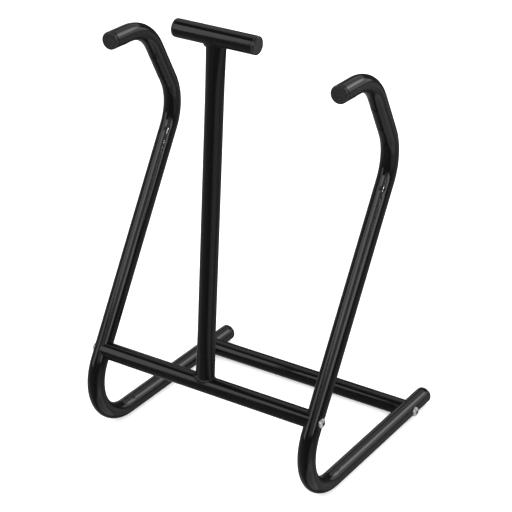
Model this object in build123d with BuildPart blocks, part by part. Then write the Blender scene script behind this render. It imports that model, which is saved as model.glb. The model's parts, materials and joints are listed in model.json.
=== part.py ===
"""Free-standing bike repair stand, bent and welded from 25 mm round steel tube.

Two identical side frames lie on the floor on straight rails, turn up at the front, lean back, turn
forward again and end in level hooks.  Two crossbars with coped ends hold the side frames apart.
Each crossbar end carries a threaded insert, and one button-head bolt passes through the side frame
into it.  A centre post stands on the front crossbar and carries a short T-bar.

Frame: millimetres, +Z up from the floor, +Y towards the open rear ends of the rails, and X across.
The origin is on the floor under the middle of the whole stand.
"""
import os
from math import cos, radians, sin, tan

from build123d import *

os.makedirs("parts", exist_ok=True)

# Tube
TUBE_R = 12.5
WALL = 1.5
BORE_R = TUBE_R - WALL
BEND_R = 70.0
PAINT_GAP = 0.05
SIDES = ((-1, "left"), (1, "right"))

# Side frames, measured between the corners where the straight centrelines would meet
FRAME_SPACING = 350.0
RAIL_LENGTH = 396.5
UPRIGHT_LENGTH = 510.0
UPPER_LEG_LENGTH = 148.0
HOOK_LENGTH = 81.5
UPRIGHT_LEAN = 30.0
UPPER_LEG_LEAN = 30.0

# Crossbars
FRONT_BAR_UP_UPRIGHT = 138.0
REAR_BAR_FROM_REAR_END = 52.0
COPE_TRIM = 3.0
# How far the tools that cut copes and bolt holes reach to each side of a joint
CUTTER_REACH = 40.0

# Centre post and T-bar
POST_LENGTH = 494.0
POST_LEAN = 2.7
FLARE_LENGTH = 80.0
# Oval sections of each pressed end: fraction of the flare's length, half width and half depth
POST_SECTIONS = ((0.0, 15.2, 9.2), (0.5, 13.4, 11.5))
T_BAR_LENGTH = 125.5
WELD_R = 3.2

# End plugs
CAP_THICKNESS = 4.5
CAP_R = 12.4
CAP_EDGE_R = 2.8
PLUG_CORE_R = 9.4
PLUG_RIB_R = 10.9
PLUG_WALL = 1.6
PLUG_DEPTH = 15.0
RIB_WIDTH = 1.2
RIB_STEPS = (3.0, 7.0, 11.0)

# M8 button-head bolts and threaded inserts
BOLT_R = 4.0
BOLT_LENGTH = 40.0
BOLT_TIP_CHAMFER = 0.8
HEAD_R = 7.0
HEAD_HEIGHT = 4.4
HEAD_RIM = 0.9
HEAD_FLAT_R = 3.7
HEAD_DOME_R = 5.9
HEAD_DOME_HEIGHT = 3.2
SOCKET_FLATS = 5.0
SOCKET_DEPTH = 2.7
BOLT_HOLE_R = 4.3
THREAD_BORE_R = 4.05
INSERT_R = 10.95
INSERT_LENGTH = 20.0
INSERT_SETBACK = 1.0
INSERT_CHAMFER = 1.0
GROOVE_DEPTH = 0.8
GROOVE_WIDTH = 3.0

# Seats pressed into the side frames under the bolt heads
FRONT_SEAT_DEPTH = 2.5
REAR_SEAT_DEPTH = 0.6
SEAT_FLAT_R = 7.8
SEAT_LIP_R = 12.2
SEAT_HEADROOM = 6.0

# Worked out from the driving dimensions
half_spacing = FRAME_SPACING / 2
lean = radians(UPRIGHT_LEAN)
front_setback = BEND_R * tan(radians(90 + UPRIGHT_LEAN) / 2)
stand_depth = RAIL_LENGTH - front_setback + BEND_R + TUBE_R
rear_y = stand_depth / 2
front_corner = (rear_y - RAIL_LENGTH, TUBE_R)
upright_top = (
    front_corner[0] + UPRIGHT_LENGTH * sin(lean),
    front_corner[1] + UPRIGHT_LENGTH * cos(lean),
)
hook_corner = (
    upright_top[0] - UPPER_LEG_LENGTH * sin(radians(UPPER_LEG_LEAN)),
    upright_top[1] + UPPER_LEG_LENGTH * cos(radians(UPPER_LEG_LEAN)),
)
hook_tip_y = hook_corner[0] - HOOK_LENGTH
front_bar_yz = (
    front_corner[0] + FRONT_BAR_UP_UPRIGHT * sin(lean),
    front_corner[1] + FRONT_BAR_UP_UPRIGHT * cos(lean),
)
rear_bar_yz = (rear_y - REAR_BAR_FROM_REAR_END, TUBE_R)
upright_direction = (0, sin(lean), cos(lean))
rail_direction = (0, 1, 0)
post_tilt = radians(POST_LEAN)
post_direction = (0, sin(post_tilt), cos(post_tilt))
t_bar_yz = (
    front_bar_yz[0] + POST_LENGTH * sin(post_tilt),
    front_bar_yz[1] + POST_LENGTH * cos(post_tilt),
)


def save(piece, name):
    """Label a finished piece and write its STEP file."""
    piece.part.label = name
    export_step(piece.part, f"parts/{name}.step")


def frame_rod(side, radius):
    """Return a solid round rod along one side frame's whole centreline."""
    with BuildPart() as rod:
        with BuildLine(Plane.YZ.offset(side * half_spacing)) as centreline:
            FilletPolyline(
                (rear_y - CAP_THICKNESS, TUBE_R),
                front_corner,
                upright_top,
                hook_corner,
                (hook_tip_y + CAP_THICKNESS, hook_corner[1]),
                radius=BEND_R,
            )
        start = Plane(origin=centreline.line @ 0, z_dir=centreline.line % 0)
        with BuildSketch(start):
            Circle(radius)
        sweep(path=centreline.line)
    return rod.part


def seat_dish(side, axis_yz, depth, inset):
    """Return the dish that forms a bolt seat: flat in the middle, rolled over smoothly at its lip.

    An inset above zero gives the same dish moved into the tube by that much, for the wall's inner face.
    """
    flat_r = SEAT_FLAT_R + inset / 2
    lip_r = SEAT_LIP_R + inset / 2
    half_way_r = (flat_r + lip_r) / 2
    floor_x = side * (half_spacing + TUBE_R - inset - depth)
    half_way_x = floor_x + side * depth / 2
    lip_x = floor_x + side * depth
    mouth_x = lip_x + side * SEAT_HEADROOM
    with BuildPart() as dish:
        with BuildSketch(Plane(origin=(0, *axis_yz), x_dir=(0, 1, 0), z_dir=(0, 0, -1))):
            with BuildLine():
                Line((0, floor_x), (flat_r, floor_x))
                TangentArc((flat_r, floor_x), (half_way_r, half_way_x), tangent=(1, 0))
                TangentArc((lip_r, lip_x), (half_way_r, half_way_x), tangent=(-1, 0))
                Polyline((lip_r, lip_x), (lip_r, mouth_x), (0, mouth_x), (0, floor_x))
            make_face()
        revolve(axis=Axis(origin=(0, *axis_yz), direction=(1, 0, 0)))
    return dish.part


def side_tube_cutter(side, axis_yz, direction):
    """Return the room that a side frame's tube takes out of the end of a crossbar."""
    with BuildPart() as cutter:
        with BuildSketch(Plane(origin=(side * half_spacing, *axis_yz), z_dir=direction)):
            Circle(TUBE_R + PAINT_GAP)
        extrude(amount=CUTTER_REACH, both=True)
    return cutter.part


# Where the bolts sit: the bolt's axis and the depth of the seat that is pressed for its head
JOINTS = (("front", front_bar_yz, FRONT_SEAT_DEPTH), ("rear", rear_bar_yz, REAR_SEAT_DEPTH))

# Side frames: a bent tube, with a pressed seat and a through hole at each bolt
for side, side_name in SIDES:
    outside = frame_rod(side, TUBE_R)
    inside = frame_rod(side, BORE_R)
    with BuildPart() as hollow:
        add(inside)
        for _, axis_yz, depth in JOINTS:
            add(seat_dish(side, axis_yz, depth, WALL), mode=Mode.SUBTRACT)
    with BuildPart() as side_frame:
        add(outside)
        for _, axis_yz, depth in JOINTS:
            add(seat_dish(side, axis_yz, depth, 0), mode=Mode.SUBTRACT)
        add(hollow.part, mode=Mode.SUBTRACT)
        for _, axis_yz, _ in JOINTS:
            with BuildSketch(Plane(origin=(side * half_spacing, *axis_yz), z_dir=(1, 0, 0))):
                Circle(BOLT_HOLE_R)
            extrude(amount=CUTTER_REACH, both=True, mode=Mode.SUBTRACT)
    save(side_frame, f"side_frame_{side_name}")


# Crossbars: tubes with both ends coped to the side frames
for name, axis_yz, direction in (
    ("front_crossbar", front_bar_yz, upright_direction),
    ("rear_crossbar", rear_bar_yz, rail_direction),
):
    with BuildPart() as crossbar:
        with BuildSketch(Plane(origin=(0, *axis_yz), z_dir=(1, 0, 0))):
            Circle(TUBE_R)
            Circle(BORE_R, mode=Mode.SUBTRACT)
        extrude(amount=half_spacing - COPE_TRIM, both=True)
        for side in (-1, 1):
            add(side_tube_cutter(side, axis_yz, direction), mode=Mode.SUBTRACT)
    save(crossbar, name)


# Threaded inserts and bolts, one of each at every joint between a crossbar and a side frame
for side, side_name in SIDES:
    for end_name, axis_yz, depth in JOINTS:
        insert_face = Plane(
            origin=(side * (half_spacing - TUBE_R - INSERT_SETBACK), *axis_yz), z_dir=(-side, 0, 0)
        )
        with BuildPart() as insert:
            with BuildSketch(insert_face):
                Circle(INSERT_R)
            extrude(amount=INSERT_LENGTH)
            chamfer(insert.edges(), INSERT_CHAMFER)
            groove_start = (INSERT_LENGTH - GROOVE_WIDTH) / 2
            with BuildSketch(insert_face.offset(groove_start)):
                Circle(INSERT_R)
                Circle(INSERT_R - GROOVE_DEPTH, mode=Mode.SUBTRACT)
            extrude(amount=GROOVE_WIDTH, mode=Mode.SUBTRACT)
            with BuildSketch(insert_face):
                Circle(THREAD_BORE_R)
            extrude(amount=INSERT_LENGTH, mode=Mode.SUBTRACT)
        save(insert, f"{end_name}_{side_name}_threaded_insert")

        seat_origin = (side * (half_spacing + TUBE_R - depth), *axis_yz)
        seat = Plane(origin=seat_origin, x_dir=(0, 1, 0), z_dir=(side, 0, 0))
        section = Plane(origin=seat_origin, x_dir=(0, 1, 0), z_dir=(0, 0, -1))
        with BuildPart() as bolt:
            with BuildSketch(section):
                with BuildLine():
                    Polyline((0, 0), (HEAD_R, 0), (HEAD_R, side * HEAD_RIM))
                    ThreePointArc(
                        (HEAD_R, side * HEAD_RIM),
                        (HEAD_DOME_R, side * HEAD_DOME_HEIGHT),
                        (HEAD_FLAT_R, side * HEAD_HEIGHT),
                    )
                    Polyline((HEAD_FLAT_R, side * HEAD_HEIGHT), (0, side * HEAD_HEIGHT), (0, 0))
                make_face()
            revolve(axis=Axis(origin=seat_origin, direction=(1, 0, 0)))
            with BuildSketch(seat.offset(HEAD_HEIGHT)):
                RegularPolygon(SOCKET_FLATS / 2, 6, major_radius=False)
            extrude(amount=-SOCKET_DEPTH, mode=Mode.SUBTRACT)
            with BuildSketch(seat):
                Circle(BOLT_R)
            extrude(amount=-BOLT_LENGTH)
            tip = bolt.edges().filter_by(GeomType.CIRCLE).sort_by(Axis.X)[0 if side > 0 else -1]
            chamfer(tip, BOLT_TIP_CHAMFER)
        save(bolt, f"{end_name}_{side_name}_bolt")


def post_rod(shrink):
    """Return a solid post from the crossbar's axis to the T-bar's axis, smaller by shrink all round."""
    foot = Plane(origin=(0, *front_bar_yz), x_dir=(1, 0, 0), z_dir=post_direction)
    with BuildPart() as rod:
        for end, inward in ((foot, 1), (foot.offset(POST_LENGTH), -1)):
            for fraction, half_width, half_depth in POST_SECTIONS:
                with BuildSketch(end.offset(inward * fraction * FLARE_LENGTH)):
                    Ellipse(half_width - shrink, half_depth - shrink)
            with BuildSketch(end.offset(inward * FLARE_LENGTH)):
                Circle(TUBE_R - shrink)
            loft()
        with BuildSketch(foot.offset(FLARE_LENGTH)):
            Circle(TUBE_R - shrink)
        extrude(amount=POST_LENGTH - 2 * FLARE_LENGTH)
    return rod.part


def cross_rod(axis_yz, radius):
    """Return a solid round rod across the stand, wider than the post, about a crossbar's axis."""
    with BuildPart() as rod:
        with BuildSketch(Plane(origin=(0, *axis_yz), z_dir=(1, 0, 0))):
            Circle(radius)
        extrude(amount=2 * TUBE_R, both=True)
    return rod.part


# Centre post: both ends coped, the foot to the front crossbar and the top to the T-bar
post_outside = post_rod(0)
with BuildPart() as centre_post:
    add(post_outside)
    add(post_rod(WALL), mode=Mode.SUBTRACT)
    for axis_yz in (front_bar_yz, t_bar_yz):
        add(cross_rod(axis_yz, TUBE_R + PAINT_GAP), mode=Mode.SUBTRACT)
save(centre_post, "centre_post")

# Weld beads: a round bead along each coped edge of the post, less the tubes that it joins
coped_edges = centre_post.edges().filter_by(lambda edge: edge.is_closed).sort_by(Axis.Z)
for name, axis_yz, edges in (
    ("post_foot_weld", front_bar_yz, coped_edges[:2]),
    ("post_top_weld", t_bar_yz, coped_edges[-2:]),
):
    outer_edge = edges.sort_by(SortBy.LENGTH)[-1]
    with BuildPart() as weld:
        for half in (outer_edge.trim(0, 0.5), outer_edge.trim(0.5, 1)):
            with BuildSketch(Plane(origin=half @ 0, z_dir=half % 0)):
                Circle(WELD_R)
            sweep(path=half)
        add(post_outside, mode=Mode.SUBTRACT)
        add(cross_rod(axis_yz, TUBE_R), mode=Mode.SUBTRACT)
    save(weld, name)


# T-bar: a short tube across the top of the post
t_bar_end_x = T_BAR_LENGTH / 2 - CAP_THICKNESS
with BuildPart() as t_bar:
    with BuildSketch(Plane(origin=(0, *t_bar_yz), z_dir=(1, 0, 0))):
        Circle(TUBE_R)
        Circle(BORE_R, mode=Mode.SUBTRACT)
    extrude(amount=t_bar_end_x, both=True)
save(t_bar, "t_bar")


# End plugs: a rounded cap over each open tube end, on a hollow ribbed core that grips the bore
plug_seats = []
for side, side_name in SIDES:
    hook_end = (side * half_spacing, hook_tip_y + CAP_THICKNESS, hook_corner[1])
    rail_end = (side * half_spacing, rear_y - CAP_THICKNESS, TUBE_R)
    plug_seats.append((f"{side_name}_hook_plug", hook_end, (0, -1, 0)))
    plug_seats.append((f"{side_name}_rail_plug", rail_end, (0, 1, 0)))
    plug_seats.append((f"{side_name}_t_bar_plug", (side * t_bar_end_x, *t_bar_yz), (side, 0, 0)))

for name, tube_end, outward in plug_seats:
    mouth = Plane(origin=tube_end, z_dir=outward)
    with BuildPart() as plug:
        with BuildSketch(mouth):
            Circle(CAP_R)
        extrude(amount=CAP_THICKNESS)
        fillet(plug.faces().sort_by(Axis(tube_end, outward))[-1].edges(), CAP_EDGE_R)
        with BuildSketch(mouth):
            Circle(PLUG_CORE_R)
            Circle(PLUG_CORE_R - PLUG_WALL, mode=Mode.SUBTRACT)
        extrude(amount=-PLUG_DEPTH)
        for step in RIB_STEPS:
            with BuildSketch(mouth.offset(-step)):
                Circle(PLUG_RIB_R)
                Circle(PLUG_CORE_R - PLUG_WALL, mode=Mode.SUBTRACT)
            extrude(amount=-RIB_WIDTH)
    save(plug, name)
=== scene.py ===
import json
from math import atan2, cos, exp, hypot, pi, radians, sin, sqrt, tan

import bpy
import bmesh
from mathutils import Matrix, Quaternion, Vector, noise


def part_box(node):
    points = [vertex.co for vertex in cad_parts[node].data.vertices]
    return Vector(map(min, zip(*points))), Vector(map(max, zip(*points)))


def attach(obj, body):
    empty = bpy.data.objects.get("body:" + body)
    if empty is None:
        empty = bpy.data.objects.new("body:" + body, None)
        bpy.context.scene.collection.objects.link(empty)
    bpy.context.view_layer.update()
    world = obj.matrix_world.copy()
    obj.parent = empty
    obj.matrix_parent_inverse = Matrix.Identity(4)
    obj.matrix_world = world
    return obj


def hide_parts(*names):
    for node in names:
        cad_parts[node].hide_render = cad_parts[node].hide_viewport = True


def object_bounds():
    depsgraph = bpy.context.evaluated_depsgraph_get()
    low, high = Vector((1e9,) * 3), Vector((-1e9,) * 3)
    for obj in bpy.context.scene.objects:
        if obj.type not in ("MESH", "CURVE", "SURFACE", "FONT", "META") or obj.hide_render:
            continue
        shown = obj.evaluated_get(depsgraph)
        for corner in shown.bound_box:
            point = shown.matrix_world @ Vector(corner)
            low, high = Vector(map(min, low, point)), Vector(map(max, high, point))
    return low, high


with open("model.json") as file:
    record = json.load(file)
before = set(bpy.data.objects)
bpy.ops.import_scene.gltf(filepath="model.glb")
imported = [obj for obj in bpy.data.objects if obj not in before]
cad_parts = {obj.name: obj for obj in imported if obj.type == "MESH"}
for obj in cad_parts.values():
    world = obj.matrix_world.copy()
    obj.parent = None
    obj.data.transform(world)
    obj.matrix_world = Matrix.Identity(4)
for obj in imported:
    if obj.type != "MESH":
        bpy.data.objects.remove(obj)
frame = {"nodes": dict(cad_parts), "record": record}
cad_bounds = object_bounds()
stand_low, stand_high = (Vector(corner) for corner in cad_bounds)
stand_centre = (stand_low + stand_high) / 2
SIDES = ((-1, "left"), (1, "right"))

# Driving dimensions of the stand in metres, as in the CAD model. The legs' lengths lie between the
# corners of the centreline.
TUBE_R = 0.0125
BORE_R = 0.0110
BEND_R = 0.070
HALF_SPACING = 0.175
RAIL_LENGTH = 0.3965
UPRIGHT_LENGTH = 0.510
UPPER_LEG_LENGTH = 0.148
HOOK_LENGTH = 0.0815
LEAN = radians(30)
POST_LEAN = radians(2.7)
CAP_THICKNESS = 0.0045

# The post's pressed ends: half axes of the oval where the weld beads lie
POST_HALF_WIDTH = 0.01440
POST_HALF_DEPTH = 0.01025

# Camera: its direction and distance from the stand, its lens and sensor in millimetres, and the
# point it looks at
CAMERA_AZIMUTH = radians(32.02)
CAMERA_ELEVATION = radians(26.04)
CAMERA_ROLL = radians(1.01)
CAMERA_DISTANCE = 2.4213
CAMERA_LENS = 122.4
CAMERA_SENSOR = 36.0
CAMERA_AIM = stand_centre + Vector((0.0013, -0.0245, -0.0417))


# Node helpers

def new_material(name):
    """Return a node material, its tree and its Principled shader."""
    material = bpy.data.materials.new(name)
    material.use_nodes = True
    tree = material.node_tree
    return material, tree, tree.nodes["Principled BSDF"]


def set_inputs(tree, node, **inputs):
    """Set a node's inputs, linking those given as a socket. An underscore stands for a space."""
    for key, value in inputs.items():
        socket = node.inputs[key.replace("_", " ")]
        if isinstance(value, bpy.types.NodeSocket):
            tree.links.new(value, socket)
        else:
            socket.default_value = value


def add_node(tree, kind, settings=None, **inputs):
    """Add a node with its settings and inputs."""
    node = tree.nodes.new(kind)
    for key, value in (settings or {}).items():
        setattr(node, key, value)
    set_inputs(tree, node, **inputs)
    return node


def object_place(tree):
    """Return the place on the object, in its own axes."""
    return add_node(tree, "ShaderNodeTexCoord").outputs["Object"]


def noise_at(tree, place, scale, detail=2.0, roughness=0.5, stretch=(1, 1, 1)):
    """Return the value of a noise at a place socket, with its cells stretched as asked."""
    mapping = add_node(tree, "ShaderNodeMapping", Vector=place, Scale=stretch)
    texture = add_node(
        tree,
        "ShaderNodeTexNoise",
        Vector=mapping.outputs["Vector"],
        Scale=scale,
        Detail=detail,
        Roughness=roughness,
    )
    return texture.outputs["Fac"]


def remap(tree, value, low=0.0, high=1.0, from_low=0.3, from_high=0.7):
    """Map a range of a value onto the range from low to high."""
    node = add_node(
        tree,
        "ShaderNodeMapRange",
        Value=value,
        From_Min=from_low,
        From_Max=from_high,
        To_Min=low,
        To_Max=high,
    )
    return node.outputs["Result"]


def mix_colours(tree, factor, colours):
    """Mix a pair of colours by a factor."""
    first, second = colours
    node = add_node(
        tree, "ShaderNodeMix", {"data_type": "RGBA"}, Factor=factor, A=(*first, 1), B=(*second, 1)
    )
    return node.outputs["Result"]


def add_bumps(tree, shader, *bumps):
    """Drive the shader's normal from heights, each with its strength and its depth in metres."""
    normal = None
    for height, strength, depth in bumps:
        node = add_node(tree, "ShaderNodeBump", Height=height, Strength=strength, Distance=depth)
        if normal:
            set_inputs(tree, node, Normal=normal)
        normal = node.outputs["Normal"]
    set_inputs(tree, shader, Normal=normal)


# Materials, each with the pair of colours that its clouds or flecks mix, or that painted shade in
# recesses mixes

PAINT_COLOURS = ((0.0024, 0.0024, 0.0025), (0.008, 0.008, 0.0084))
PLASTIC_COLOURS = ((0.008, 0.008, 0.0085), (0.019, 0.019, 0.020))
ZINC_COLOURS = ((0.78, 0.79, 0.80), (0.62, 0.63, 0.64))
# Painted shade on the zinc: near black in recesses such as the bolt's socket, white where the
# surface is open
RECESS_SHADE_COLOURS = ((0.01, 0.01, 0.01), (1, 1, 1))
STEEL_COLOURS = ((0.5, 0.49, 0.47), (0.3, 0.2, 0.13))

# Stretches that draw a noise out along a tube, and the mesh attribute that straightens a bent one
ALONG_Z = (1, 1, 0.02)
ALONG_X = (0.02, 1, 1)
TUBE_PLACE = "tube_place"


def black_powder_coat(name, stretch, attribute=None):
    """Gloss black paint: fine orange peel over the faint lengthwise lines of drawn tube.

    The lines follow the object's own axes, or the mesh attribute where one is named.
    """
    material, tree, shader = new_material(name)
    place = object_place(tree)
    along_tube = place
    if attribute:
        straightened = add_node(tree, "ShaderNodeAttribute", {"attribute_name": attribute})
        along_tube = straightened.outputs["Vector"]
    lines = noise_at(tree, along_tube, scale=520.0, roughness=0.6, stretch=stretch)
    peel = noise_at(tree, place, scale=420.0, detail=1.5, roughness=0.45)
    patches = noise_at(tree, place, scale=26.0, detail=3.0)
    grit = noise_at(tree, place, scale=1500.0, detail=1.0)
    flecks = remap(tree, grit, from_low=0.62, from_high=0.72)
    set_inputs(
        tree,
        shader,
        Base_Color=mix_colours(tree, flecks, PAINT_COLOURS),
        Roughness=remap(tree, patches, low=0.08, high=0.14),
        IOR=1.5,
    )
    add_bumps(tree, shader, (lines, 0.6, 0.00006), (peel, 0.35, 0.00007))
    return material


def moulded_plastic():
    """Satin black plastic with the fine grain of a moulded cap."""
    material, tree, shader = new_material("moulded_plastic")
    place = object_place(tree)
    grain = noise_at(tree, place, scale=1500.0, roughness=0.6)
    cloud = noise_at(tree, place, scale=480.0)
    set_inputs(
        tree,
        shader,
        Base_Color=mix_colours(tree, remap(tree, cloud), PLASTIC_COLOURS),
        Roughness=remap(tree, cloud, low=0.14, high=0.24),
    )
    add_bumps(tree, shader, (grain, 0.35, 0.0001))
    return material


def zinc_plate():
    """Bright zinc with a faint cloudy passivation, fine scratches, and painted shade that darkens
    its recesses.
    """
    material, tree, shader = new_material("zinc_plate")
    place = object_place(tree)
    cloud = noise_at(tree, place, scale=320.0, detail=3.0)
    scratch = noise_at(tree, place, scale=900.0, detail=4.0, stretch=(1, 1, 7))
    # Painted shade: ambient occlusion darkens the zinc where other surfaces are near, as in the
    # hex socket and under the head
    openness = add_node(tree, "ShaderNodeAmbientOcclusion", {"samples": 8}, Distance=0.006)
    unshaded_share = remap(tree, openness.outputs["AO"], from_low=0.45, from_high=0.8)
    shade = add_node(
        tree,
        "ShaderNodeMix",
        {"data_type": "RGBA", "blend_type": "MULTIPLY"},
        Factor=1.0,
        A=mix_colours(tree, remap(tree, cloud), ZINC_COLOURS),
        B=mix_colours(tree, unshaded_share, RECESS_SHADE_COLOURS),
    )
    set_inputs(
        tree,
        shader,
        Base_Color=shade.outputs["Result"],
        Roughness=remap(tree, scratch, low=0.22, high=0.36),
        Metallic=0.85,
    )
    add_bumps(tree, shader, (scratch, 0.15, 0.00003))
    return material


def turned_steel():
    """Plain steel with turning marks and a little rust bloom."""
    material, tree, shader = new_material("turned_steel")
    place = object_place(tree)
    marks = noise_at(tree, place, scale=2500.0, stretch=(6, 1, 1))
    bloom = noise_at(tree, place, scale=240.0, detail=4.0)
    rust = remap(tree, bloom, from_low=0.55, from_high=0.75)
    set_inputs(
        tree,
        shader,
        Base_Color=mix_colours(tree, rust, STEEL_COLOURS),
        Roughness=remap(tree, bloom, low=0.3, high=0.6),
        Metallic=0.95,
    )
    add_bumps(tree, shader, (marks, 0.3, 0.00005))
    return material


bent_paint = black_powder_coat("black_paint_bent_tube", ALONG_Z, TUBE_PLACE)
upright_paint = black_powder_coat("black_paint_upright_tube", ALONG_Z)
cross_paint = black_powder_coat("black_paint_cross_tube", ALONG_X)
SLOT_MATERIALS = {
    "frame_paint": cross_paint,
    "plug_plastic": moulded_plastic(),
    "zinc_steel": zinc_plate(),
    "insert_steel": turned_steel(),
}

# CAD nodes keep their shape and take the material of their slot, but the post's lines run upwards
for part in frame["record"]["subparts"]:
    node_mesh = frame["nodes"][part["node"]].data
    node_mesh.materials.clear()
    node_mesh.materials.append(SLOT_MATERIALS[part["material_slot"]])
frame["nodes"]["centre_post"].data.materials[0] = upright_paint


# Mesh helpers

def new_piece(name, points, faces, material, slot, *replaced, crease=40):
    """Make a mesh piece that rides with the stand and stands in for CAD nodes."""
    mesh = bpy.data.meshes.new(name)
    mesh.from_pydata(points, [], faces)
    editable = bmesh.new()
    editable.from_mesh(mesh)
    bmesh.ops.recalc_face_normals(editable, faces=editable.faces)
    editable.to_mesh(mesh)
    editable.free()
    mesh.materials.append(material)
    mesh.shade_smooth()
    mesh.set_sharp_from_angle(angle=radians(crease))
    piece = bpy.data.objects.new(name, mesh)
    bpy.context.scene.collection.objects.link(piece)
    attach(piece, "root")
    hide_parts(*replaced)
    return piece


def loop_faces(ring_count, ring_size):
    """Return the quads of rings joined one to the next, and the last to the first."""
    faces = []
    for ring in range(ring_count):
        after = (ring + 1) % ring_count
        for k in range(ring_size):
            beside = (k + 1) % ring_size
            faces.append((
                ring * ring_size + k,
                ring * ring_size + beside,
                after * ring_size + beside,
                after * ring_size + k,
            ))
    return faces


def box_centre(node):
    """Return the middle of a node's box."""
    low, high = (Vector(corner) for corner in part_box(node))
    return (low + high) / 2


def smooth_step(value, low, high):
    """Rise smoothly from 0 at low to 1 at high."""
    share = min(max((value - low) / (high - low), 0.0), 1.0)
    return share * share * (3 - 2 * share)


# Side frames

class BentPath:
    """A centreline of straight runs joined by arcs of one radius, in a plane of constant x."""

    def __init__(self, corners, radius):
        self.radius = radius
        self.runs = []
        self.bends = []
        along = 0.0
        place = corners[0]
        for here, after in zip(corners[1:], corners[2:] + [None]):
            heading = (here - place).normalized()
            angle = atan2(heading.y, heading.x)
            length = (here - place).length
            if after is None:
                self.runs.append((along, along + length, place, angle, 0.0))
                self.length = along + length
                break
            next_heading = (after - here).normalized()
            cross = heading.x * next_heading.y - heading.y * next_heading.x
            turn = atan2(cross, heading.dot(next_heading))
            setback = radius * tan(abs(turn) / 2)
            length -= setback
            self.runs.append((along, along + length, place, angle, 0.0))
            along += length
            place = place + heading * length
            arc_length = radius * abs(turn)
            self.runs.append((along, along + arc_length, place, angle, turn))
            self.bends.append((along, along + arc_length, 1 if turn > 0 else -1))
            along += arc_length
            place = here + next_heading * setback

    def at(self, along):
        """Return the point and the unit heading at a distance along the path, as (y, z) pairs."""
        for start, end, place, angle, turn in self.runs:
            if along <= end or end == self.length:
                break
        gone = along - start
        if turn == 0:
            heading = Vector((cos(angle), sin(angle)))
            return place + heading * gone, heading
        sign = 1 if turn > 0 else -1
        now = angle + sign * gone / self.radius
        centre = place + Vector((-sin(angle), cos(angle))) * sign * self.radius
        point = centre - Vector((-sin(now), cos(now))) * sign * self.radius
        return point, Vector((cos(now), sin(now)))


rear_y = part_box("left_rail_plug")[1][1]
front_corner = Vector((rear_y - RAIL_LENGTH, TUBE_R))
upright_heading = Vector((sin(LEAN), cos(LEAN)))
upright_top = front_corner + upright_heading * UPRIGHT_LENGTH
hook_corner = upright_top + Vector((-sin(LEAN), cos(LEAN))) * UPPER_LEG_LENGTH
frame_path = BentPath(
    [
        Vector((rear_y - CAP_THICKNESS, TUBE_R)),
        front_corner,
        upright_top,
        hook_corner,
        hook_corner + Vector((CAP_THICKNESS - HOOK_LENGTH, 0)),
    ],
    BEND_R,
)

# How cold bending leaves the tube: flattened in the plane of the bend, least on its inside, and a
# little wider across it. It sets in over the onset.
FLATTENING = 0.030
INSIDE_SHARE = 0.6
OUTSIDE_SHARE = 1.3
WIDENING = 0.012
ONSET = 0.020

# Shallow wrinkles on the inside, where the straights run into the bend. Their centre is how far
# into the bend they are deepest.
WRINKLE_DEPTH = 0.00040
WRINKLE_PITCH = 0.021
WRINKLE_CENTRE = -0.011
WRINKLE_SPREAD = 0.009
WRINKLE_REACH = 0.034

# Noise that makes the wrinkles patchy: its scale around and along the tube, and its mean level
PATCH_AROUND = 1.3
PATCH_ALONG = 60
PATCH_LEVEL = 0.6

# Noise that shifts the wrinkles from bend to bend, in radians of their wave
SHIFT_AROUND = 2
SHIFT_ALONG = 40
SHIFT_SEED = 5
SHIFT_SIZE = 2

# Seats pressed for the bolt heads: the bolt's axis as (y, z), and the seat's depth
SEAT_DEPTHS = {"front": 0.0025, "rear": 0.0006}
seats = []
for row, depth in SEAT_DEPTHS.items():
    bolt_centre = box_centre(f"{row}_right_bolt")
    seats.append((Vector((bolt_centre.y, bolt_centre.z)), depth))
SEAT_FLAT_R = 0.0078
SEAT_LIP_R = 0.0125
SEAT_BLEND = 0.0004
BOLT_HOLE_R = 0.0043
BOLT_HOLE_POINTS = 48
MERGE_DISTANCE = 0.00002

# The mesh of a side frame: points in a ring, the rounding of the tube's ends, and the steps
# between rings on a straight, in a bend, on a seat and around a seat, with their reach
RING_POINTS = 80
EDGE_ROUND = 0.0004
EDGE_SHOULDER = 0.3
STRAIGHT_STEP = 0.008
BEND_STEP = 0.0018
SEAT_STEP = 0.0008
SEAT_REACH = 0.016
SURROUND_STEP = 0.003
SURROUND_REACH = 0.026
SEARCH_STEP = 0.001
BORE_RING_SKIP = 4


def bend_at(along):
    """Return the state of bending at a place along the path.

    It is the strain, from 0 on a straight to 1 in a bend, the sense of the nearby bend, how far
    inside that bend the place is, and where the bend starts.
    """
    for start, end, sign in frame_path.bends:
        into = min(along - start, end - along)
        if into > -WRINKLE_REACH:
            return smooth_step(into, -ONSET / 2, ONSET), sign, into, start
    return 0.0, 1, -WRINKLE_REACH, 0.0


def seat_limit(point):
    """Return how far out from the tube's axis the pressed seats let the surface stand."""
    limit = 1.0
    for axis, depth in seats:
        from_axis = (point - axis).length
        if from_axis < SEAT_LIP_R:
            rise = smooth_step(from_axis, SEAT_FLAT_R, SEAT_LIP_R)
            limit = TUBE_R - depth * (1 - rise)
    return limit


def soft_min(first, second, blend):
    """Return the smaller of two values, rounded over where they meet."""
    nearness = max(blend - abs(first - second), 0.0) / blend
    return min(first, second) - nearness * nearness * blend / 4


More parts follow.
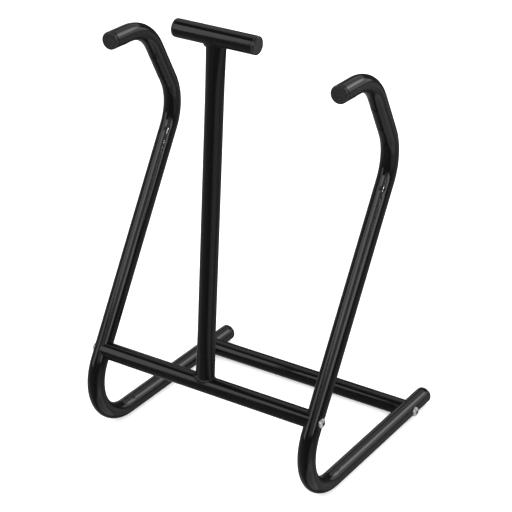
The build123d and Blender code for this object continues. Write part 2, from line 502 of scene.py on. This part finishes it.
def frame_ring(along, radius, side):
    """Return one ring of a side frame: pairs of a point and its place on the straightened tube."""
    centre, heading = frame_path.at(along)
    across = Vector((-heading.y, heading.x))
    strain, sign, into, start = bend_at(along)
    share = radius / TUBE_R
    ring = []
    for k in range(RING_POINTS):
        angle = 2 * pi * k / RING_POINTS
        outward = cos(angle)
        inside = sin(angle) * sign
        flattening = FLATTENING * (INSIDE_SHARE if inside > 0 else OUTSIDE_SHARE)
        x = radius * outward * (1 + WIDENING * strain)
        up = radius * sin(angle) * (1 - flattening * strain)
        if inside > 0 and into > -WRINKLE_REACH:
            patch_place = Vector((angle * PATCH_AROUND, along * PATCH_ALONG, side))
            patch = noise.noise(patch_place) + PATCH_LEVEL
            shift_place = Vector((angle * SHIFT_AROUND, start * SHIFT_ALONG, side + SHIFT_SEED))
            shift = noise.noise(shift_place) * SHIFT_SIZE
            wave = sin(2 * pi * into / WRINKLE_PITCH + shift)
            reach = exp(-((into - WRINKLE_CENTRE) / WRINKLE_SPREAD) ** 2)
            up += sign * WRINKLE_DEPTH * share * wave * reach * patch * inside
        place = centre + across * up
        if outward > 0:
            x = soft_min(x, seat_limit(place) - (TUBE_R - radius), SEAT_BLEND)
        ring.append((
            Vector((side * (HALF_SPACING + x), place.x, place.y)),
            Vector((radius * cos(angle), radius * sin(angle), along)),
        ))
    return ring


def frame_stations():
    """Return where along the path the rings lie: far apart on straights, close elsewhere."""
    places = [k * SEARCH_STEP for k in range(int(frame_path.length / SEARCH_STEP))]
    marks = []
    for seat, _ in seats:
        marks.append(min(places, key=lambda place: (frame_path.at(place)[0] - seat).length))
    stations = [0.0]
    while stations[-1] < frame_path.length:
        here = stations[-1]
        steps = [STRAIGHT_STEP]
        for start, end, _ in frame_path.bends:
            if start - WRINKLE_REACH < here < end + WRINKLE_REACH:
                steps.append(BEND_STEP)
        for mark in marks:
            if abs(here - mark) < SEAT_REACH:
                steps.append(SEAT_STEP)
            elif abs(here - mark) < SURROUND_REACH:
                steps.append(SURROUND_STEP)
        stations.append(here + min(steps))
    stations[-1] = frame_path.length
    return stations


def build_side_frame(side, side_name):
    """Build one side frame as a closed thin-walled tube with rounded ends."""
    stations = frame_stations()
    bore_stations = stations[::-BORE_RING_SKIP]
    if bore_stations[-1] > 0:
        bore_stations.append(0.0)
    end = frame_path.length
    shoulder = EDGE_ROUND * EDGE_SHOULDER
    outline = [(0.0, TUBE_R - EDGE_ROUND), (shoulder, TUBE_R - shoulder)]
    outline += [(max(along, EDGE_ROUND), TUBE_R) for along in stations[:-1]]
    outline += [(end - EDGE_ROUND, TUBE_R), (end - shoulder, TUBE_R - shoulder)]
    outline += [(end, TUBE_R - EDGE_ROUND)]
    outline += [(along, BORE_R) for along in bore_stations]
    rings = [frame_ring(along, radius, side) for along, radius in outline]
    piece = new_piece(
        f"{side_name}_bent_tube",
        [point for ring in rings for point, _ in ring],
        loop_faces(len(rings), RING_POINTS),
        bent_paint,
        "frame_paint",
        f"side_frame_{side_name}",
    )
    places = piece.data.attributes.new(TUBE_PLACE, "FLOAT_VECTOR", "POINT")
    for k, place in enumerate(place for ring in rings for _, place in ring):
        places.data[k].vector = place
    return piece


def merge_slivers(mesh):
    """Merge the points that a cut leaves almost on top of each other."""
    editable = bmesh.new()
    editable.from_mesh(mesh)
    bmesh.ops.remove_doubles(editable, verts=editable.verts, dist=MERGE_DISTANCE)
    bmesh.ops.dissolve_degenerate(editable, edges=editable.edges, dist=MERGE_DISTANCE)
    editable.to_mesh(mesh)
    editable.free()


def drill_bolt_holes(piece, side):
    """Cut the holes for both bolts through both walls of a side frame."""
    drill = bmesh.new()
    for axis, _ in seats:
        bmesh.ops.create_cone(
            drill,
            cap_ends=True,
            segments=BOLT_HOLE_POINTS,
            radius1=BOLT_HOLE_R,
            radius2=BOLT_HOLE_R,
            depth=4 * TUBE_R,
            matrix=(
                Matrix.Translation((side * HALF_SPACING, *axis)) @ Matrix.Rotation(pi / 2, 4, "Y")
            ),
        )
    drill_mesh = bpy.data.meshes.new("drill")
    drill.to_mesh(drill_mesh)
    drill.free()
    cutter = bpy.data.objects.new("drill", drill_mesh)
    bpy.context.scene.collection.objects.link(cutter)
    cut = piece.modifiers.new("bolt_holes", "BOOLEAN")
    cut.object = cutter
    cut.solver = "EXACT"
    drilled = piece.evaluated_get(bpy.context.evaluated_depsgraph_get())
    piece.data = bpy.data.meshes.new_from_object(drilled)
    piece.modifiers.clear()
    bpy.data.objects.remove(cutter)
    merge_slivers(piece.data)


for side, side_name in SIDES:
    drill_bolt_holes(build_side_frame(side, side_name), side)


# Weld beads of the centre post

WELD_STEPS = 360
WELD_PROFILE = 14
WELD_CREASE = 60
WELD_ROOT = 0.0006
CROWN_SHARE = 0.12

# Each bead is heavy at its left end and thin at its right: mean leg, and how much it swings
WELD_LEG = 0.0025
FOOT_LEG_SWING = 0.0011
TOP_LEG_SWING = 0.0010

# How far a toe sinks: below the bar's surface in metres, and into the post as a share of its oval
TOE_SINK = 0.00003
TOE_SHARE = 0.998

# Ripples that lag at both toes, lumps along and across the bead, and a wandering leg
RIPPLE_PITCH = 0.0017
RIPPLE_HEIGHT = 0.00018
RIPPLE_LAG = 0.9
LUMP_HEIGHT = 0.0005
LUMPS_ALONG = 260
LUMPS_ACROSS = 2.2
WANDER = 0.16
WANDER_SCALE = 2
WANDER_SEED = 3


def on_bar(point):
    """Return a point moved onto the bar that the post meets, a hair under its surface."""
    scale = (TUBE_R - TOE_SINK) / hypot(point.y, point.z)
    return Vector((point.x, point.y * scale, point.z * scale))


def on_post(point):
    """Return a point moved onto the post's oval side, a hair under its surface."""
    scale = TOE_SHARE / hypot(point.x / POST_HALF_WIDTH, point.y / POST_HALF_DEPTH)
    return Vector((point.x * scale, point.y * scale, point.z))


def weld_ring(turn, leg, run, seed):
    """Return one section of a bead: across its face from the post to the bar, then its root."""
    x, y = POST_HALF_WIDTH * cos(turn), POST_HALF_DEPTH * sin(turn)
    corner = Vector((x, y, sqrt(TUBE_R ** 2 - y ** 2)))
    from_post = Vector((x / POST_HALF_WIDTH ** 2, y / POST_HALF_DEPTH ** 2, 0)).normalized()
    from_bar = Vector((0, corner.y, corner.z)).normalized()
    forward = from_post.cross(from_bar).normalized()
    up_post = forward.cross(from_post)
    if up_post.dot(from_bar) < 0:
        up_post = -up_post
    out_bar = forward.cross(from_bar)
    if out_bar.dot(from_post) < 0:
        out_bar = -out_bar
    toe_on_post = on_post(corner + up_post * leg)
    toe_on_bar = on_bar(corner + out_bar * leg)
    crown = (from_post + from_bar).normalized()
    ring = []
    for k in range(WELD_PROFILE):
        share = k / (WELD_PROFILE - 1)
        arch = sin(pi * share)
        lag = (2 * share - 1) ** 2
        ripple = abs(sin(pi * (run / RIPPLE_PITCH + RIPPLE_LAG * lag)))
        lump = noise.noise(Vector((run * LUMPS_ALONG, share * LUMPS_ACROSS, seed)))
        height = arch * (leg * CROWN_SHARE + RIPPLE_HEIGHT * ripple + LUMP_HEIGHT * lump)
        ring.append(toe_on_post.lerp(toe_on_bar, share) + crown * height)
    ring.append(corner - crown * WELD_ROOT)
    return ring


def build_weld(name, node, bar, flip, leg_swing, seed):
    """Build a bead around one end of the post, in the frame of the bar that the post meets."""
    rings = []
    run = 0.0
    before = None
    for step in range(WELD_STEPS):
        turn = 2 * pi * step / WELD_STEPS
        here = Vector((POST_HALF_WIDTH * cos(turn), POST_HALF_DEPTH * sin(turn)))
        run += (here - before).length if before else 0.0
        before = here
        wander_place = (cos(turn) * WANDER_SCALE, sin(turn) * WANDER_SCALE, seed + WANDER_SEED)
        wander = 1 + WANDER * noise.noise(Vector(wander_place))
        leg = WELD_LEG - leg_swing * cos(turn)
        rings.append(weld_ring(turn, leg * wander, run, seed))
    tilt = Matrix.Translation(box_centre(bar)) @ Matrix.Rotation(-POST_LEAN, 4, "X")
    if flip:
        tilt = tilt @ Matrix.Rotation(pi, 4, "X")
    new_piece(
        name,
        [tilt @ point for ring in rings for point in ring],
        loop_faces(WELD_STEPS, WELD_PROFILE + 1),
        upright_paint,
        "frame_paint",
        node,
        crease=WELD_CREASE,
    )


build_weld("foot_weld_bead", "post_foot_weld", "front_crossbar", False, FOOT_LEG_SWING, 1.0)
build_weld("top_weld_bead", "post_top_weld", "t_bar", True, TOP_LEG_SWING, 7.0)


# End plugs: a cap with a rounded edge and a slightly dished face, on a hollow core with ribs

CAP_R = 0.0124
CAP_EDGE_R = 0.0022
CAP_EDGE_STEPS = 10
FACE_DISH = 0.00025
PLUG_CORE_R = 0.0094
PLUG_BORE_R = 0.0078
PLUG_RIB_R = 0.0109
PLUG_DEPTH = 0.015
RIB_WIDTH = 0.0012
RIB_BEVEL = 0.0002
RIB_STARTS = (0.003, 0.007, 0.011)
PLUG_CREASE = 50
LATHE_POINTS = 72

# How the dish runs out towards the edge: shares of the face's radius and of the dish's depth
DISH_STEPS = ((0.80, 0.9), (0.92, 0.25))


def plug_profile():
    """Return a plug's half section as (radius, height) pairs, from its face to its hollow."""
    top = CAP_THICKNESS
    face_r = CAP_R - CAP_EDGE_R
    profile = [(0.0, top - FACE_DISH)]
    for radius_share, depth_share in DISH_STEPS:
        profile.append((face_r * radius_share, top - FACE_DISH * depth_share))
    for step in range(CAP_EDGE_STEPS + 1):
        angle = pi / 2 * step / CAP_EDGE_STEPS
        profile.append((face_r + CAP_EDGE_R * sin(angle), top - CAP_EDGE_R * (1 - cos(angle))))
    profile += [(CAP_R, RIB_BEVEL), (CAP_R - RIB_BEVEL, 0.0), (PLUG_CORE_R, 0.0)]
    for start in RIB_STARTS:
        profile += [
            (PLUG_CORE_R, -start),
            (PLUG_RIB_R, -start - RIB_BEVEL),
            (PLUG_RIB_R, -start - RIB_WIDTH + RIB_BEVEL),
            (PLUG_CORE_R, -start - RIB_WIDTH),
        ]
    profile += [(PLUG_CORE_R, -PLUG_DEPTH), (PLUG_BORE_R, -PLUG_DEPTH), (PLUG_BORE_R, 0.0)]
    return profile + [(0.0, 0.0)]


def lathe(profile, place):
    """Turn a half section, from axis to axis, into points and faces set where place says."""
    points = [place @ Vector((0, 0, profile[0][1])), place @ Vector((0, 0, profile[-1][1]))]
    faces = []
    rows = profile[1:-1]
    for radius, height in rows:
        for k in range(LATHE_POINTS):
            angle = 2 * pi * k / LATHE_POINTS
            points.append(place @ Vector((radius * cos(angle), radius * sin(angle), height)))
    last = 2 + (len(rows) - 1) * LATHE_POINTS
    for k in range(LATHE_POINTS):
        beside = (k + 1) % LATHE_POINTS
        faces.append((0, 2 + k, 2 + beside))
        faces.append((1, last + beside, last + k))
        for row in range(len(rows) - 1):
            here = 2 + row * LATHE_POINTS
            after = here + LATHE_POINTS
            faces.append((here + k, after + k, after + beside, here + beside))
    return points, faces


def build_plug(node, outward):
    """Build the plug that closes one tube end, its face flush with the end of the CAD plug's."""
    low, high = (Vector(corner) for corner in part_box(node))
    face = box_centre(node)
    for axis in range(3):
        if outward[axis]:
            face[axis] = high[axis] if outward[axis] > 0 else low[axis]
    mouth = face - outward * CAP_THICKNESS
    place = Matrix.Translation(mouth) @ outward.to_track_quat("Z", "Y").to_matrix().to_4x4()
    points, faces = lathe(plug_profile(), place)
    plastic = SLOT_MATERIALS["plug_plastic"]
    new_piece(
        f"{node}_moulding", points, faces, plastic, "plug_plastic", node, crease=PLUG_CREASE
    )


for side, side_name in SIDES:
    build_plug(f"{side_name}_hook_plug", Vector((0, -1, 0)))
    build_plug(f"{side_name}_rail_plug", Vector((0, 1, 0)))
    build_plug(f"{side_name}_t_bar_plug", Vector((side, 0, 0)))


# Camera

def aim(thing, direction, roll=0.0):
    """Turn a camera or a light to face along a direction."""
    turn = direction.to_track_quat("-Z", "Y") @ Quaternion((0, 0, 1), roll)
    thing.rotation_mode = "QUATERNION"
    thing.rotation_quaternion = turn


def direction_to(azimuth, elevation):
    """Return the unit vector at an azimuth (0 is -Y, a quarter turn is +X) and an elevation."""
    reach = cos(elevation)
    return Vector((sin(azimuth) * reach, -cos(azimuth) * reach, sin(elevation)))


camera = bpy.data.objects.new("camera", bpy.data.cameras.new("camera"))
bpy.context.scene.collection.objects.link(camera)
camera.data.lens = CAMERA_LENS
camera.data.sensor_width = CAMERA_SENSOR
towards_camera = direction_to(CAMERA_AZIMUTH, CAMERA_ELEVATION)
camera.location = CAMERA_AIM + towards_camera * CAMERA_DISTANCE
aim(camera, -towards_camera, CAMERA_ROLL)
bpy.context.scene.camera = camera


# Lights: name, azimuth, elevation, distance, half width and half height in degrees, radiance

SOFTBOXES = (
    ("front_softbox", -9, 31, 6, 13, 5.5, 2.3),
    ("front_left_softbox", -43, 25, 6, 13, 22, 1.35),
    ("right_softbox", 61, 16.5, 6, 17, 6, 2.2),
    ("front_right_fill", 26, 39, 6, 19, 24, 0.47),
    ("rear_right_softbox", 148, 25, 6, 17, 19, 0.9),
    ("rear_right_core", 149, 32, 5, 11, 7, 1.5),
    ("rear_softbox", 173, 39, 6, 28, 14, 0.5),
    ("rear_left_softbox", -128, 50, 6, 16, 16, 0.5),
    ("rear_left_low", -120, 12, 6, 26, 13, 0.32),
    ("flash", 42, 30.4, 6, 1.3, 1.3, 100.0),
)


def add_softbox(name, azimuth, elevation, distance, half_width, half_height, radiance):
    """Add a rectangular light that faces the stand, sized by the angles that it fills."""
    width = 2 * distance * tan(radians(half_width))
    height = 2 * distance * tan(radians(half_height))
    data = bpy.data.lights.new(name, "AREA")
    data.shape = "RECTANGLE"
    data.size = width
    data.size_y = height
    data.energy = radiance * pi * width * height
    light = bpy.data.objects.new(name, data)
    bpy.context.scene.collection.objects.link(light)
    away = direction_to(radians(azimuth), radians(elevation))
    light.location = stand_centre + away * distance
    aim(light, -away)


for softbox in SOFTBOXES:
    add_softbox(*softbox)


# Floor: pale and matt, with its own faint light so that it reads as white

FLOOR_HALF = 12.0
floor_corners = [
    (x * FLOOR_HALF, y * FLOOR_HALF, 0) for x, y in ((-1, -1), (1, -1), (1, 1), (-1, 1))
]
floor_mesh = bpy.data.meshes.new("floor")
floor_mesh.from_pydata(floor_corners, [], [(0, 1, 2, 3)])
floor = bpy.data.objects.new("floor", floor_mesh)
bpy.context.scene.collection.objects.link(floor)
floor_material, floor_tree, floor_shader = new_material("pale_floor")
set_inputs(
    floor_tree,
    floor_shader,
    Base_Color=(0.9, 0.9, 0.9, 1),
    Roughness=0.8,
    Specular_IOR_Level=0.0,
    Emission_Color=(1, 1, 1, 1),
    Emission_Strength=0.45,
)
floor_mesh.materials.append(floor_material)
floor.visible_glossy = False

# The studio around the stand is white to matt surfaces. To reflections it is dark, with the lit
# floor as soft round patches: azimuth, elevation, inner and outer radius in degrees, level.
REFLECTED_ROOM = 0.06
FLOOR_GLOWS = (
    (-104, -24, 25, 62, 0.20),
    (-35, -24, 12, 38, 0.07),
    (66, -24, 10, 30, 0.34),
    (125, -24, 25, 45, 0.20),
    (150, -8, 6, 22, 0.10),
    (80, -60, 25, 36, 0.42),
)

world = bpy.data.worlds.new("studio")
bpy.context.scene.world = world
world.use_nodes = True
sky = world.node_tree


def floor_glow(direction, azimuth, elevation, inner, outer, level):
    """Return the light of one soft round patch, seen in a direction."""
    facing = add_node(sky, "ShaderNodeVectorMath", {"operation": "DOT_PRODUCT"})
    sky.links.new(direction, facing.inputs[0])
    facing.inputs[1].default_value = direction_to(radians(azimuth), radians(elevation))
    patch = add_node(
        sky,
        "ShaderNodeMapRange",
        {"interpolation_type": "SMOOTHSTEP"},
        Value=facing.outputs["Value"],
        From_Min=cos(radians(outer)),
        From_Max=cos(radians(inner)),
        To_Max=level,
    )
    return patch.outputs["Result"]


direction = add_node(sky, "ShaderNodeTexCoord").outputs["Generated"]
reflected = add_node(sky, "ShaderNodeValue").outputs["Value"]
reflected.default_value = REFLECTED_ROOM
for glow in FLOOR_GLOWS:
    total = add_node(sky, "ShaderNodeMath", {"operation": "ADD"})
    sky.links.new(reflected, total.inputs[0])
    sky.links.new(floor_glow(direction, *glow), total.inputs[1])
    reflected = total.outputs["Value"]
glossy = add_node(sky, "ShaderNodeLightPath").outputs["Is Glossy Ray"]
brightness = add_node(sky, "ShaderNodeMapRange", Value=glossy, To_Min=1.0, To_Max=reflected)
set_inputs(
    sky, sky.nodes["Background"], Color=(1, 1, 1, 1), Strength=brightness.outputs["Result"]
)
bpy.context.scene.view_settings.view_transform = "Standard"
